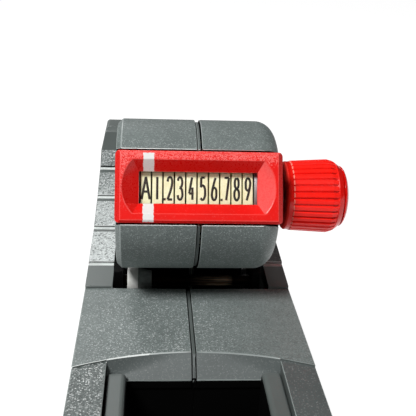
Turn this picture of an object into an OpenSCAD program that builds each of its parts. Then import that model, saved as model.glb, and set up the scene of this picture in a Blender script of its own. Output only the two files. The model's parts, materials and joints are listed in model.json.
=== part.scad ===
// Hand-held price labeller: two housings with a deck and a label bay, and a squeeze lever
// that swings the print head down on a label.
// X across the labeller, Y towards the nose, Z up. The origin is the middle of the label cradle's flat base.

/* [Body] */
// Width over the two housings
body_w = 50; // [46:0.5:56]
// Height of the deck above the table
deck_h = 58; // [54:0.5:64]
// Front edge of the deck, from the middle of the label bay
deck_front = 56; // [54:0.5:60]
// Wall thickness of the housings
wall = 2.4; // [1.8:0.1:3]
// Thickness of the deck
deck_t = 2.6; // [2:0.1:4]
// Length of the deck on the centre line, front edge to lip
deck_l = 26.7; // [22:0.1:29]
// Radius of the curved lip seen from above
lip_r = 65; // [50:1:90]
// Drop of the straight lower edge of the lip
lip_drop = 4; // [2.5:0.1:6]
// Drop of the textured strips behind the lip
strip_drop = 0.4; // [0.4:0.1:1.5]
// Width of the recessed strip along the seam
seam_w = 1.1; // [0.6:0.1:1.6]
// Depth of the recessed strip along the seam
seam_d = 0.5; // [0.3:0.1:0.8]
// Open line along one side of the strip
seam_gap = 0.3; // [0.1:0.05:0.4]
// Fine groove along the other side of the strip
seam_line = 0.18; // [0.1:0.02:0.3]
// Length of the nose in front of the deck
nose_l = 66; // [60:0.5:72]
// Height of the nose above the deck
nose_h = 25; // [20:0.5:30]
// Inward lean of the walls above the deck, in degrees
wall_lean = 2.6; // [1:0.1:4]
// Inner face of the left wall from the centre plane
left_in = 18.4; // [18.2:0.1:20]
// Inner face of the right wall from the centre plane
right_in = 19.9; // [19.7:0.1:21]
// Depth of the shallow panel on each side
panel_d = 0.5; // [0.3:0.1:0.8]
// Rise of each shingle step on the walls
step_h = 0.7; // [0.3:0.1:1.2]
// Length of the flat ledge at the foot of each step
ledge_l = 1.4; // [0.5:0.1:2]
// Height of the top part of the walls, which leans in more
top_lean_h = 6.7; // [4:0.1:8]
// Extra lean of that top part, in degrees
top_lean = 10; // [0:0.5:12]

/* [Label bay] */
// Clear width between the rails
bay_w = 27.8; // [26.5:0.1:30]
// Outer width of the label cradle
cradle_w = 35.7; // [34:0.1:36]
// Length of the label cradle
cradle_l = 50; // [46:0.5:51]
// Drop of the rails below the deck
rail_drop = 2; // [1.5:0.1:4]
// Thickness of the cradle floor
cradle_floor = 3; // [2:0.1:5]
// Radius of the roll hubs
hub_r = 12; // [9:0.5:14]
// Reach of each hub into the bay
hub_reach = 3.4; // [2:0.1:5]

/* [Handle] */
// Length of the handle behind the label bay
handle_l = 97; // [90:1:104]
// Width of the handle
handle_w = 30; // [28:0.5:34]
// Height of the underside of the handle
handle_z = 35; // [34:0.5:38]

/* [Rocker] */
// Travel of the squeeze lever, in degrees
squeeze_deg = 9; // [7:0.5:9]
// Pivot behind the deck's front edge
pivot_back = 45; // [42:0.5:47]
// Pivot below the deck
pivot_down = 20; // [18:0.5:22]
// Radius of the pivot pins
pivot_r = 4; // [3:0.1:5]
// Thickness of the rocker arms
arm_t = 3; // [2.4:0.1:3.1]
// Inner face of the rocker arms from the centre plane
arm_x = 18.6; // [18.5:0.1:19]
// Width of the squeeze lever
lever_w = 25; // [22:0.5:28]
// Length of the squeeze lever behind its web
lever_l = 82; // [74:1:88]
// Least clearance between the rocker arms and the walls
arm_gap = 0.3; // [0.2:0.05:0.6]
// Gap between the body and the web of the squeeze lever
lever_gap = 8; // [6:0.5:10]
// Web of the squeeze lever below the handle
lever_low = 22.8; // [20:0.1:24]
// Radial running clearance of pins and shafts
run_fit = 0.06; // [0.03:0.01:0.09]

/* [Print head] */
// Middle of the head from the centre plane
head_x = 1.1; // [0.6:0.1:1.4]
// Barrel axis in front of the deck's edge
head_y = 4; // [3:0.1:6]
// Barrel axis above the deck
head_z = 23.4; // [22.5:0.1:26]
// Lean of the window, in degrees
head_tilt = 27.5; // [22:0.5:32]
// Radius of the barrel
barrel_r = 17.5; // [16.5:0.1:17.9]
// Width of the barrel
barrel_w = 36.2; // [35:0.1:36.4]
// Wall of the head shells
head_wall = 2; // [1.4:0.1:2.6]
// Rounding of the right end of the barrel
end_round = 4.5; // [4:0.1:6]
// Bevel that takes the corner off the left end of the barrel
end_round_left = 1.1; // [0.8:0.1:2.5]
// Half width of the snout below the barrel
snout_x = 14.4; // [14:0.1:14.5]

/* [Window] */
// Width of the window frame
frame_w = 36.4; // [36:0.1:37.5]
// Height of the window frame
frame_h = 15.6; // [14:0.1:17]
// Gap above and below the frame
frame_gap = 0.4; // [0.15:0.05:0.6]
// Radius of the frame's corners
frame_round = 0.9; // [0.3:0.1:1.5]
// Face of the frame from the barrel axis
frame_face = 16.4; // [16:0.1:17]
// Depth of the frame
frame_t = 3.1; // [2.2:0.1:3.2]
// Width of the window
window_w = 25.9; // [25.4:0.1:27]
// Height of the window
window_h = 7; // [6:0.1:8]
// Shift of the window from the middle of the head
window_x = -0.15; // [-0.4:0.05:0.4]
// Height of the bevel around the window
bevel_h = 11.7; // [10:0.1:12.5]
// Width of the straight part of the bevel
bevel_w = 28.5; // [27.5:0.1:29.5]
// Bulge of the bevel's curved ends
bevel_bulge = 2.4; // [1.5:0.1:2.8]

/* [Selector] */
// Distance between character wheels
column_pitch = 2.5; // [2.4:0.01:2.5]
// Gap between neighbouring wheels
column_gap = 0.35; // [0.3:0.05:0.6]
// Circumradius of the twelve-sided wheels
wheel_r = 13; // [12:0.1:13.1]
// Shift of the wheel pack from the middle of the head
wheel_x = -0.35; // [-0.6:0.05:0.1]
// Outer radius of the drive tube
tube_r = 5; // [4.2:0.1:6]
// Radius of the selector rod
rod_r = 3.2; // [2.6:0.1:3.4]
// Radius of the knob over its ridges
knob_r = 8.8; // [7.5:0.1:9.5]
// Length of the knob without its cap
knob_l = 13.4; // [11:0.1:15]
// Distance from the barrel's end to the knob
knob_gap = 2.7; // [2.4:0.1:4]
// Length of the plain neck of the knob
neck_l = 1.5; // [1:0.1:2.5]
// Length of the sloping shoulder at the knob's outer end
shoulder_l = 2.6; // [1.5:0.1:3]
// Growth of the knob's radius from its neck to its shoulder
knob_taper = 0.5; // [0:0.1:1]
// Number of flutes on the knob
flutes = 34; // [20:1:36]
// Height of the knob's domed cap
cap_h = 1.9; // [0.8:0.1:2.5]

/* [Feed and roller] */
// Radius of the feed wheel
feed_r = 9; // [7.5:0.1:9.2]
// Radius of the ratchet wheel
ratchet_r = 8; // [7:0.1:8.2]
// Radius of the applicator roller
roller_r = 8; // [6.5:0.1:8.5]
// Radius of the axles
axle_r = 2; // [1.5:0.1:2.2]
// Radius of the ink roller
ink_r = 7; // [5.5:0.1:7.2]
// Top of the print bed above the table
bed_z = 36; // [34:0.1:36]

/* [Hidden] */
$fn = 64;
half_w = body_w / 2;
plate_x = half_w - wall;
df = deck_front;
dz = deck_h;
lip_y = cradle_l / 2;
lip_cy = df - deck_l - lip_r;
nose_y = df + nose_l;
nose_top = dz + nose_h;
body_rear = -cradle_l / 2 - 3;
base_rear = body_rear + 22;
bay_rear = body_rear + 2.7;
pv = [df - pivot_back, dz - pivot_down];
hc = [df + head_y, dz + head_z];
half_b = barrel_w / 2;
cradle_hw = cradle_w / 2;
handle_end = body_rear - handle_l;
arm_out = arm_x + arm_t;
arm_relief = arm_out + arm_gap - plate_x;
hub_z = cradle_floor + 26;
feed = [df + 16, bed_z - 15.2];
rol = [nose_y - 7, roller_r + 2.6];
ink_c = [df + 36, dz - 6];
ink_pv = [df + 42, dz + 8];
door_pin = [lip_y + 3.6, 3.7];
door_end = df + 43.2;
nose_pin = [nose_y - 2.6, bed_z - 7];
cross = [df + 5.2, dz - 0.6];
pawl_pv = [df + 1, dz - 13.5];
pawl_tip = feed + [-7.6, 5.8];
lever_y = body_rear - lever_gap;
lever_end = lever_y - lever_l;
lever_z = handle_z - lever_low;
screw_r = 1.2;
screw_head_r = 2.1;
screw_head_h = 0.8;
lever_screw_y = [lever_y - 7.4, lever_y - 1.6];
lever_screw_z = lever_z + 5.2;
head_screw_y = [df + 9.5, df + 19];
head_screw_z = dz - 11;
pack_x0 = wheel_x - 5 * column_pitch;
foot_z = pv[1] + 8;
screw_at = [[handle_end + 17, handle_z + 11, handle_w / 2 + 0.2],
    [body_rear - 34, handle_z + 11, handle_w / 2 + 0.4], [df + 38, 12, half_w]];
snout_hw = max(snout_x, head_x + wheel_x + 5 * column_pitch + 1.15);
knob_x0 = half_b + knob_gap;
wall_tiles = [[10, 1.4], [27, 3.6], [38.6, 8], [48.2, 13.3], [50.6, 18.3]];
tile_k = nose_l / 66;
tile_z = nose_h / 25;
spring_wire = 0.24;
spring_r = arm_t / 2 - spring_wire;
spring_turns = 14;
spring_y = df - 18;
spring_z0 = wall;
spring_l = dz - 21.7 - spring_z0;
spring_pitch = (spring_l - 2 * spring_wire) / spring_turns;
echo(spring_gap = spring_pitch - 2 * spring_wire);

// A side outline drawn in (Y, Z) and given thickness along X
module side(x0, x1) {
    translate([x0, 0, 0]) rotate([90, 0, 90]) linear_extrude(x1 - x0) children();
}

// A round bar along X through the point p = (Y, Z)
module bar(p, r, x0, x1) {
    translate([x0, p[0], p[1]]) rotate([0, 90, 0]) cylinder(r = r, h = x1 - x0);
}

// Places a piece of the head in the tilted frame of the barrel, X along its axis and -Y out of the window
module at_head() {
    translate([head_x, hc[0], hc[1]]) rotate([-head_tilt, 0, 0]) children();
}

// A ring or disc turned about the X axis from a half section drawn as (radius, X)
module turned() {
    rotate([0, 90, 0]) rotate_extrude() children();
}

// Points along the top of the walls, from the nose to the deck
function wall_top() = concat(
    [[nose_y - 5.5, nose_top], [df + 53 * tile_k, nose_top], [df + 51.6 * tile_k, nose_top - 1.2]],
    [for (i = [4:-1:0]) for (k = [1, 0, -1]) if (i < 4 || k == 1)
        [df + wall_tiles[i][0] * tile_k + min(k, 0) * ledge_l,
            dz + wall_tiles[i][1] * tile_z + (i < 4 ? max(k, 0) * step_h : 0)]],
    [[df, dz + 0.6], [df, dz]]);

// Outline of a housing's side, nose to rear
module side_outline() {
    polygon(concat(
        [[body_rear, 26], [body_rear + 1.2, 19.5], [body_rear + 4.6, 12], [body_rear + 10, 5.4],
            [body_rear + 16, 1.6], [base_rear, 0], [df + 46, 0], [df + 53, 2.4], [rol[0] + 2, rol[1] - 5.6],
            [rol[0] + 5.4, rol[1] - 2.2], [rol[0] + 5.8, rol[1] + 4], [nose_y - 0.4, dz - 28],
            [nose_y, dz - 14], [nose_y - 1.6, dz + 8], [nose_y - 3.4, nose_top - 2.4]],
        wall_top(),
        [[body_rear, dz]]));
}

// Band under the top of a wall, thick enough to read as a ledge from inside
module wall_band() {
    top = wall_top();
    n = len(top);
    polygon(concat(top, [[df, dz - deck_t], [df + 22 * tile_k, dz - deck_t]],
        [for (i = [n - 8:-1:3]) [top[i][0] + 2.4, top[i][1] - 3.2]],
        [[df + 55 * tile_k, nose_top - 3], [nose_y - 5.5, nose_top - 3]]));
}

// A cross section of the handle: half width, bottom, top and corner radius at one place along Y
module handle_slice(y, hw, z0, z1, r) {
    translate([0, y, 0]) rotate([90, 0, 0]) linear_extrude(0.2) for (sx = [-1, 1]) for (z = [z0 + r, z1 - r])
        translate([sx * (hw - r), z]) circle(r, $fn = 32);
}

module handle_solid(t) {
    r = 8 - t;
    hw = handle_w / 2;
    hull() {
        handle_slice(body_rear + 3 - t, half_w - t, handle_z - 1 + t, dz - t, 3);
        handle_slice(body_rear - 24, hw + 0.8 - t, handle_z + t, dz + 1 - t, r);
    }
    hull() {
        handle_slice(body_rear - 24, hw + 0.8 - t, handle_z + t, dz + 1 - t, r);
        handle_slice(handle_end + 6, hw - t, handle_z + t, dz - 1 - t, r);
    }
    if (t == 0) hull() {
        handle_slice(handle_end + 6, hw, handle_z, dz - 1, r);
        handle_slice(handle_end + 0.2, hw - 3, handle_z + 3.5, dz - 4.5, r - 2);
    }
}

// Outline of the shallow panel on the side, with round corners
module panel_outline() {
    y = [base_rear - 6, df + 44];
    z = [11, dz - 14];
    r = 6;
    translate([y[0] + r, z[0]]) square([y[1] - y[0] - 2 * r, z[1] - z[0]]);
    translate([y[0], z[0] + r]) square([y[1] - y[0], z[1] - z[0] - 2 * r]);
    for (a = [y[0] + r, y[1] - r]) for (b = [z[0] + r, z[1] - r]) translate([a, b]) circle(r);
}

// The space of the label bay with its curved, slanting lip
module bay_cut() {
    hull() {
        translate([0, 0, dz]) linear_extrude(1) intersection() {
            translate([0, lip_cy]) circle(lip_r, $fn = 180);
            translate([-cradle_hw - 0.2, bay_rear - 0.7]) square([cradle_w + 0.4, 2 * cradle_l]);
        }
        translate([-cradle_hw - 0.2, bay_rear - 0.7, dz - lip_drop])
            cube([cradle_w + 0.4, lip_y - bay_rear + 0.7, 1]);
    }
    translate([-cradle_hw - 0.2, bay_rear, -1]) cube([cradle_w + 0.4, lip_y - bay_rear, dz]);
}

// Room in the walls for the swing of the rocker arms
module arm_space() {
    translate([body_rear - 1, wall]) square([df + 28 - body_rear, dz - deck_t - 1 - wall]);
}

// The space outside the walls, whose outer faces lean in above the deck, and more so near the top
module lean_cut() {
    kink = half_w - (nose_h - top_lean_h) * tan(wall_lean);
    top = kink - top_lean_h * tan(wall_lean + top_lean);
    translate([0, 200, 0]) rotate([90, 0, 0]) linear_extrude(260)
        polygon([[half_w, dz], [kink, nose_top - top_lean_h], [top + 0.14, nose_top - 0.6],
            [top - 0.5, nose_top + 0.04], [top - 0.5, nose_top + 9], [half_w + 20, nose_top + 9],
            [half_w + 20, dz]]);
}

// One housing, drawn on the +X side; dir is 1 for the right one and -1 for the left one
module housing(dir, inner) {
    difference() {
        union() {
            difference() {
                union() {
                    side(plate_x, half_w) side_outline();
                    side(inner, plate_x + 0.1) wall_band();
                    // deck and the block that carries the lip
                    translate([seam_w / 2, lip_y - 7, dz - deck_t])
                        cube([half_w - seam_w / 2 - 0.1, df - lip_y + 7, deck_t]);
                    translate([seam_w / 2, lip_y, dz - 6]) cube([plate_x - seam_w / 2, 12, 5]);
                    // strips beside the bay and the wall behind it
                    translate([cradle_hw, body_rear, dz - 5])
                        cube([plate_x - cradle_hw + 0.3, lip_y - body_rear, 5]);
                    translate([0.05, body_rear, handle_z - 1]) cube([plate_x, 2.5, dz - handle_z + 1]);
                    // curtain below the lip and the flange under the body
                    translate([0.05, lip_y + 0.3, dz - 20]) cube([cradle_hw - 0.25, 1.8, 18]);
                    translate([cradle_hw + 0.2, base_rear, 0])
                        cube([plate_x - cradle_hw, door_end + 3.4 - base_rear, wall]);
                    translate([0.05, door_end + 0.4, 0]) cube([plate_x, 3, wall]);
                    intersection() {
                        handle_solid(0);
                        translate([0.05, -200, 0]) cube([60, 200, 100]);
                    }
                }
                handle_hollow();
                bay_cut();
                // textured strips lie a little lower than the deck behind the lip
                intersection() {
                    translate([0, lip_cy, dz - strip_drop]) cylinder(r = lip_r, h = 2, $fn = 180);
                    translate([cradle_hw + 0.2, body_rear + 2.6, dz - strip_drop]) cube([40, 90, 2]);
                }
                // relief for the rocker arms, where the walls stand close
                if (arm_relief > 0) side(plate_x - 0.01, plate_x + arm_relief) arm_space();
                // shallow panel on the outer face
                side(half_w - panel_d, half_w + 1) panel_outline();
                // outer faces lean in above the deck
                lean_cut();
            }
            // screw bosses
            for (s = screw_at) bar([s[0], s[1]], 4.6, 0.05, s[2] - 1);
            // bosses of the axles at the roller
            bar(rol, 5, 15.2, plate_x + 0.1);
        }
        bar(pv, pivot_r, arm_x - 0.6, half_w + 1);
        bar(feed, axle_r, plate_x - 3, half_w - 1);
        bar(rol, axle_r, 10, half_w - 1);
        bar(door_pin, 1.2, plate_x - 3, half_w - 1);
        bar(nose_pin, 1.2, plate_x - 8, half_w - 1);
        bar(ink_pv, 1.5, plate_x - 8, half_w - 2);
        for (s = screw_at) bar([s[0], s[1]], 1.5, -1, dir > 0 ? 40 : s[2] - 5);
        if (dir > 0) for (s = screw_at) bar([s[0], s[1]], 3.1, s[2] - 2.2, 40);
    }
}

module handle_hollow() {
    intersection() {
        handle_solid(wall);
        translate([0.05, -200, 0]) cube([60, 200 + body_rear - 0.1, 100]);
    }
}

module housing_left() {
    color("dimgray") mirror([1, 0, 0]) housing(-1, left_in);
}

module housing_right() {
    color("dimgray") {
        housing(1, right_in);
        // tongue that fills the recessed strip along the seam
        difference() {
            union() {
                translate([-seam_w / 2 + seam_gap, lip_y + 1.5, dz - deck_t])
                    cube([seam_w - seam_gap + 0.1, df - lip_y - 1.5, deck_t - seam_d]);
                translate([-seam_w / 2 + seam_gap, lip_y, dz - 6])
                    cube([seam_w - seam_gap + 0.1, 12, 5.5 - seam_d]);
            }
            translate([0, 0, -seam_d]) bay_cut();
            translate([seam_w / 2 - seam_line, lip_y - 1, dz - seam_d - 0.6])
                cube([seam_line, df - lip_y + 2, 2]);
            translate([seam_w / 2 - seam_line, lip_y - 1, dz - lip_drop - seam_d - 0.6])
                cube([seam_line, df - deck_l - lip_y + 1, lip_drop]);
        }
    }
}

// Side outline of the cradle, or of the space in it
module cradle_outline(in) {
    y0 = -cradle_l / 2 + 2.4 * in;
    y1 = cradle_l / 2 + 5 * in;
    z0 = cradle_floor * in;
    polygon([[y0, 26], [y0 + 0.9, 19], [y0 + 3.4, 12.4], [y0 + 7.4, 6.6 + z0 * 0.6],
        [y0 + 12.6, 2.2 + z0 * 0.9], [y0 + 19, z0], [y1, z0], [y1, dz - rail_drop + 9 * in],
        [y0, dz - rail_drop + 9 * in]]);
}

module label_cradle() {
    color("dimgray") difference() {
        side(-cradle_hw, cradle_hw) cradle_outline(0);
        side(-bay_w / 2, bay_w / 2) cradle_outline(1);
        for (dir = [0, 1]) mirror([dir, 0, 0]) translate([bay_w / 2, -cradle_l / 2 + 2.4, dz - rail_drop])
            rotate([0, 45, 0]) cube([1, 2 * cradle_l, 1], center = true);
        for (dir = [-1, 1]) bar([0, hub_z], 3, dir > 0 ? 10 : -30, dir > 0 ? 30 : -10);
    }
}

module roll_hub() {
    translate([bay_w / 2 - hub_reach, 0, hub_z]) turned() union() {
        polygon([[0, 0], [hub_r - 2.5, 0], [hub_r - 1.5, 0.8], [hub_r - 1.5, hub_reach - 1.2],
            [hub_r, hub_reach - 1], [hub_r, hub_reach], [0, hub_reach]]);
        translate([0, hub_reach - 0.1]) square([3, cradle_hw - bay_w / 2]);
    }
}

module roll_hub_left() {
    color("gray") mirror([1, 0, 0]) roll_hub();
}

module roll_hub_right() {
    color("gray") roll_hub();
}

module print_bed() {
    color("black") union() {
        translate([-bay_w / 2 + 0.1, df + 2, bed_z - 4.4]) cube([bay_w - 0.2, 34, 4.4]);
        translate([-plate_x, df + 28.5, bed_z - 6.4]) cube([2 * plate_x, 7, 4]);
    }
}

module peel_bar() {
    color("silver") side(-bay_w / 2 - 0.1, bay_w / 2 + 0.1)
        polygon([[df + 36, bed_z - 4], [df + 41, bed_z - 1.2], [df + 41, bed_z - 0.7], [df + 36, bed_z]]);
}

module pivot_pins() {
    color("silver") for (dir = [0, 1]) mirror([dir, 0, 0]) bar(pv, pivot_r, arm_x - 0.3, half_w - 0.4);
}

// A helical spring standing on the housing's flange under each rocker arm
module return_springs() {
    color("silver") for (dir = [-1, 1])
        translate([dir * (arm_x + arm_t / 2), spring_y, spring_z0 + spring_wire]) coil();
}

module coil() {
    ring = 6;
    steps = 10 * spring_turns;
    pts = [for (i = [0:steps]) let (a = i * 36, z = i * spring_pitch / 10) for (k = [0:ring - 1])
        let (b = k * 360 / ring, rr = spring_r + spring_wire * cos(b))
        [rr * cos(a), rr * sin(a), z + spring_wire * sin(b)]];
    sides = [for (i = [0:steps - 1]) for (k = [0:ring - 1]) let (n = (k + 1) % ring)
        [i * ring + k, i * ring + n, (i + 1) * ring + n, (i + 1) * ring + k]];
    ends = [[for (k = [ring - 1:-1:0]) k], [for (k = [0:ring - 1]) steps * ring + k]];
    polyhedron(pts, concat(sides, ends));
}

module feed_axle() {
    color("silver") bar(feed, axle_r, -half_w + 1.2, half_w - 1.2);
}

module roller_axle() {
    color("silver") bar(rol, axle_r, -half_w + 1.2, half_w - 1.2);
}

module housing_screws() {
    color("silver") for (s = screw_at) {
        difference() {
            bar([s[0], s[1]], 2.8, s[2] - 2.2, s[2] - 0.5);
            for (a = [0, 90]) translate([s[2] - 1.2, s[0], s[1]]) rotate([a, 0, 0]) translate([0, -1.6, -0.4])
                cube([2, 3.2, 0.8]);
        }
        bar([s[0], s[1]], 1.5, -s[2] + 8, s[2] - 2.1);
    }
}

module door_pin_rod() {
    color("silver") bar(door_pin, 1.2, -half_w + 1.2, half_w - 1.2);
}

module nose_pin_rod() {
    color("silver") bar(nose_pin, 1.2, -half_w + 1.2, half_w - 1.2);
}

module ink_pin_rod() {
    color("silver") bar(ink_pv, 1.5, -half_w + 2.2, half_w - 2.2);
}

// Side outline of the squeeze lever
module lever_outline() {
    polygon([[lever_y, lever_z + 12.4], [lever_y, lever_z + 0.8], [lever_y - 10, lever_z - 1.4],
        [lever_y - lever_l * 0.7, lever_z - 8], [lever_end + 4, lever_z - 9.6], [lever_end, lever_z - 7.2],
        [lever_end, lever_z - 1.2], [lever_end + 3, lever_z + 0.6]]);
}

module squeeze_lever() {
    color("dimgray") difference() {
        union() {
            side(-lever_w / 2, lever_w / 2) lever_outline();
            translate([-arm_x, lever_y - 9, lever_z]) cube([2 * arm_x, 9, 10.6]);
        }
        // open channel towards the handle
        intersection() {
            side(-lever_w / 2 + 2.4, lever_w / 2 - 2.4) translate([0, 3]) lever_outline();
            translate([-30, lever_end + 3, 0]) cube([60, lever_l - 14, 2 * handle_z]);
        }
        for (dir = [0, 1]) mirror([dir, 0, 0]) for (y = lever_screw_y)
            bar([y, lever_screw_z], screw_r, lever_w / 2 - 2.5, arm_x + 1);
    }
}

// Side outline of a rocker arm: lever end, pivot boss and head end
module arm_outline() {
    translate(pv) circle(8);
    polygon([[lever_y - 10, lever_z + 1.8], [lever_y - 8, lever_z - 0.3], [lever_y, lever_z], pv + [-2, -7.2],
        [df - 6, dz - 18.5], [df + 7, dz - 17.4], [df + 21, dz - 16.6], [df + 23, dz - 15],
        [df + 23.8, dz - 11.6], [df + 22.6, dz - 7], [df + 20.6, dz - 5.8], [df + 4, dz - 5.6],
        [df - 8, dz - 8.6], pv + [4, 7], pv + [-6, 6.4], [body_rear + 3, lever_z + 14.7],
        [lever_y, lever_z + 10.8],
        [lever_y - 8.6, lever_z + 10.4], [lever_y - 10.6, lever_z + 6.8]]);
}

// Places a screw, or the hole for one, at each screw of an arm
module at_arm_screws() {
    for (y = lever_screw_y) translate([0, y, lever_screw_z]) children();
    for (y = head_screw_y) translate([0, y, head_screw_z]) children();
}

module rocker_arm() {
    difference() {
        side(arm_x, arm_out) arm_outline();
        bar(pv, pivot_r + run_fit, arm_x - 1, arm_out + 1);
        at_arm_screws() {
            bar([0, 0], screw_r, arm_x - 1, arm_out + 1);
            bar([0, 0], screw_head_r, arm_out - screw_head_h, arm_out + 1);
        }
    }
}

module rocker_arm_left() {
    color("gray") mirror([1, 0, 0]) rocker_arm();
}

module rocker_arm_right() {
    color("gray") rocker_arm();
}

module lever_screws() {
    color("silver") for (dir = [0, 1]) mirror([dir, 0, 0]) at_arm_screws() {
        bar([0, 0], screw_r, arm_x - 3.6, arm_out - screw_head_h + 0.05);
        bar([0, 0], screw_head_r, arm_out - screw_head_h, arm_out - 0.05);
    }
}

module head_carrier() {
    color("dimgray") for (dir = [0, 1]) mirror([dir, 0, 0]) difference() {
        union() {
            translate([snout_hw, df + 7.4, dz - 15.8]) cube([arm_x - snout_hw, 14.4, 9.6]);
            side(left_in - 2.4, left_in - 0.35) polygon([[df + 8, dz - 13], [df + 12.4, dz - 13],
                [df + 13, dz + 1.4], [df + 8.6, dz + 4.6], [df + 2.2, dz + 3.4], [df + 2.2, dz - 3]]);
        }
        for (y = head_screw_y) bar([y, head_screw_z], screw_r, arm_x - 3.6, arm_x + 1);
        bar(cross, 1.4, 0, 30);
    }
}

module cross_shaft() {
    color("silver") bar(cross, 1.4, -18, 18);
}

module shaft_bush() {
    color("white") difference() {
        union() {
            bar(cross, 3.4, -14.9, -12.2);
            translate([-12.3, cross[0], cross[1]]) rotate([0, 90, 0]) cylinder(r1 = 3.2, r2 = 2.4, h = 3.4);
        }
        bar(cross, 1.4, -17, -8);
    }
}

// Outer form of the barrel, from x0 to x1 along its axis, with rounded ends
module barrel_form(g) {
    r = barrel_r - g;
    h = half_b - g;
    f = max(end_round - g, 0.6);
    fl = max(end_round_left - g, 0.4);
    turned() union() {
        translate([0, -h + fl]) square([r, 2 * h - f - fl]);
        translate([0, h - f - 0.1]) square([r - f, f + 0.1]);
        translate([r - f, h - f]) circle(f);
        polygon([[0, -h], [r - fl, -h], [r, -h + fl], [r, -h + fl + 0.1], [0, -h + fl + 0.1]]);
    }
}

// Side outline of the snout, drawn in place below the barrel
module snout_outline(t) {
    polygon([[df + 9 + t, hc[1] - 14 + t], [df + 10 + t, foot_z + 0.2 + t], [df + 23.4 - t, foot_z + 2.4 + t],
        [df + 24 - t, foot_z + 8], [df + 20.6 - t, hc[1] - 6 + t]]);
}

module head_solid() {
    difference() {
        union() {
            at_head() barrel_form(0);
            side(-snout_hw, snout_hw) snout_outline(0);
        }
        at_head() barrel_form(head_wall);
        side(-snout_hw + 1.3, snout_hw - 1.3) snout_outline(1.4);
        side(-snout_hw + 1.3, snout_hw - 1.3) polygon([[df + 11.4, foot_z - 3], [df + 22, foot_z - 1],
            [df + 22.4, foot_z + 8], [df + 19, hc[1] - 6], [df + 15, hc[1]], [df + 10.4, hc[1] - 8]]);
        // opening for the window frame
        at_head() translate([-30, -30, -frame_h / 2 - frame_gap])
            cube([60, 30 - 10.4, frame_h + 2 * frame_gap]);
        // bearings of the drive tube
        at_head() translate([-half_b + 1, 0, 0]) rotate([0, 90, 0]) cylinder(r = tube_r + run_fit, h = 60);
        // shallow strip along the seam
        at_head() rotate([0, 90, 0]) difference() {
            cylinder(r = barrel_r + 1, h = seam_w, center = true);
            cylinder(r = barrel_r - seam_d, h = 3, center = true);
        }
        at_head() translate([-seam_w / 2, 0, 0]) rotate([0, 90, 0]) difference() {
            cylinder(r = barrel_r + 1, h = seam_line);
            translate([0, 0, -1]) cylinder(r = barrel_r - seam_d - 0.5, h = 3);
        }
    }
}

module head_shell_left() {
    color("dimgray") difference() {
        head_solid();
        translate([head_x + seam_w / 2 - seam_gap, -100, 0]) cube([100, 300, 200]);
    }
}

module head_shell_right() {
    color("dimgray") intersection() {
        head_solid();
        translate([head_x + seam_w / 2, -100, 0]) cube([100, 300, 200]);
    }
}

// Straight sides and curved ends of the bevel around the window
module bevel_outline() {
    b = bevel_bulge;
    r = (bevel_h * bevel_h / 4 + b * b) / (2 * b);
    square([bevel_w, bevel_h], center = true);
    for (s = [-1, 1]) intersection() {
        translate([s * (bevel_w / 2 + b - r), 0]) circle(r, $fn = 96);
        translate([s * bevel_w / 2, 0]) square([2 * b + 2, bevel_h], center = true);
    }
}

module frame_outline() {
    square([frame_w - 2 * frame_round, frame_h], center = true);
    square([frame_w, frame_h - 2 * frame_round], center = true);
    for (sx = [-1, 1]) for (sz = [-1, 1])
        translate([sx * (frame_w / 2 - frame_round), sz * (frame_h / 2 - frame_round)]) circle(frame_round);
}

module window_frame() {
    color("firebrick") at_head() difference() {
        translate([0, -frame_face + frame_t / 2, 0]) rotate([90, 0, 0]) linear_extrude(frame_t, center = true)
            frame_outline();
        hull() {
            translate([window_x, -frame_face, 0]) rotate([90, 0, 0]) linear_extrude(0.2) bevel_outline();
            translate([window_x, -frame_face + frame_t - 0.7, 0]) rotate([90, 0, 0]) linear_extrude(0.1)
                square([window_w, window_h], center = true);
        }
        translate([window_x - window_w / 2, -30, -window_h / 2]) cube([window_w, 30, window_h]);
        for (s = [-1, 1]) translate([0, -frame_face, s * frame_h / 2]) rotate([45, 0, 0])
            cube([100, 0.8, 0.8], center = true);
        for (s = [-1, 1]) translate([s * frame_w / 2, -frame_face, 0]) rotate([0, 0, 45])
            cube([1.6, 1.6, 100], center = true);
    }
}

module wheel_spacers() {
    color("darkgray") at_head() for (x = [pack_x0 - 1.25, pack_x0 + 10 * column_pitch + 0.15])
        translate([x, 0, 0]) rotate([0, 90, 0]) difference() {
            cylinder(r = wheel_r - 0.2, h = 1.1);
            translate([0, 0, -1]) cylinder(r = tube_r + run_fit, h = 4);
        }
}

// Side outline of the free run of a type band around the anvil
module band_outline(t) {
    polygon([[df + 10.6 + t, hc[1] - 13.6], [df + 11.6 + t, foot_z - 0.6 + t],
        [df + 21.8 - t, foot_z + 1 + t], [df + 18.2 - t, hc[1] - 9]]);
}

module type_anvil() {
    color("gray") difference() {
        side(-12.9, 12.9) intersection() {
            band_outline(0.95);
            translate([df, foot_z - 2]) square([30, 9]);
        }
        bar([df + 15.4, foot_z + 4.2], 1.5, -20, 20);
    }
}

module type_bands() {
    color("khaki") for (i = [0:9]) translate([head_x + pack_x0 + i * column_pitch, 0, 0])
        side(column_gap / 2, column_pitch - column_gap / 2) difference() {
            band_outline(0);
            band_outline(0.9);
            translate([df, hc[1] - 12]) square([16.5, 10]);
        }
}

module knob_collar() {
    color("firebrick") at_head() translate([half_b + 0.02, 0, 0]) rotate([0, 90, 0]) difference() {
        union() {
            cylinder(r = knob_r - 0.3, h = 1);
            cylinder(r = knob_r - 1.3, h = 1.8);
        }
        translate([0, 0, -1]) cylinder(r = tube_r + run_fit, h = 5);
    }
}

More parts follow.
